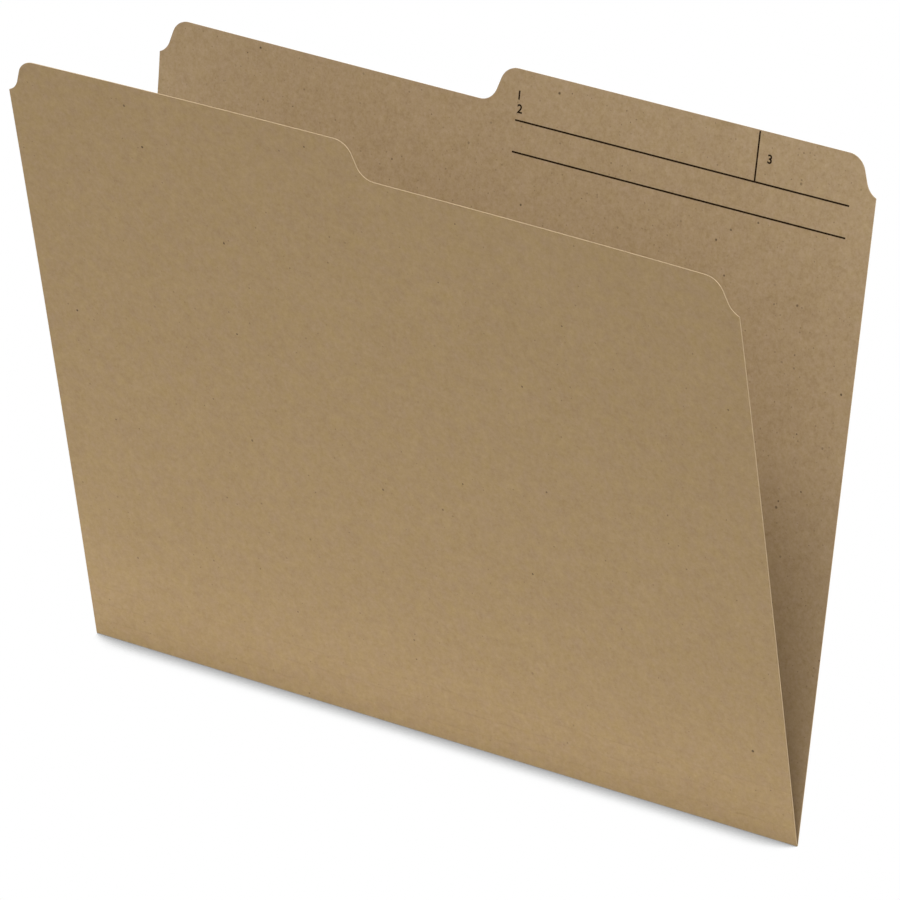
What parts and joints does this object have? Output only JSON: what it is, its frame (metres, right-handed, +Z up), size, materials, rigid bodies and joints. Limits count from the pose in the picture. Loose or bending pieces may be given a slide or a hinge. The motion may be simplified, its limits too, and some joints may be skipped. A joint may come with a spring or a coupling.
{
  "type": "scored file folder",
  "caption": "Letter-size kraft file folder, a die-cut sheet folded once, with a tab on each leaf at opposite halves and scored creases above the fold.",
  "frame": {"origin": "on the supporting surface, under the middle of the main fold", "axes": "+X along the fold towards the back leaf's tab, +Y from the front leaf to the back leaf, +Z up"},
  "size_m": [0.2984, 0.0886, 0.2372],
  "materials": {
    "kraft_stock": "matt uncoated kraft"
  },
  "bodies": {
    "back_leaf": {"back_leaf": "kraft_stock"},
    "score_strip_1": {"score_strip_1": "kraft_stock"},
    "score_strip_2": {"score_strip_2": "kraft_stock"},
    "score_strip_3": {"score_strip_3": "kraft_stock"},
    "front_leaf": {"front_leaf": "kraft_stock"}
  },
  "joints": [
    {"name": "main_fold", "type": "hinge", "parent": "back_leaf", "child": "score_strip_1", "pos_m": [0, 0, 0.00038], "axis": [1, 0, 0], "range_deg": [-21, 159]},
    {"name": "score_1", "type": "hinge", "parent": "score_strip_1", "child": "score_strip_2", "pos_m": [0, -0.00139, 0.00655], "axis": [1, 0, 0], "range_deg": [0, 60]},
    {"name": "score_2", "type": "hinge", "parent": "score_strip_2", "child": "score_strip_3", "pos_m": [0, -0.00275, 0.01388], "axis": [1, 0, 0], "range_deg": [0, 60]},
    {"name": "score_3", "type": "hinge", "parent": "score_strip_3", "child": "front_leaf", "pos_m": [0, -0.0041, 0.0212], "axis": [1, 0, 0], "range_deg": [0, 60]}
  ]
}
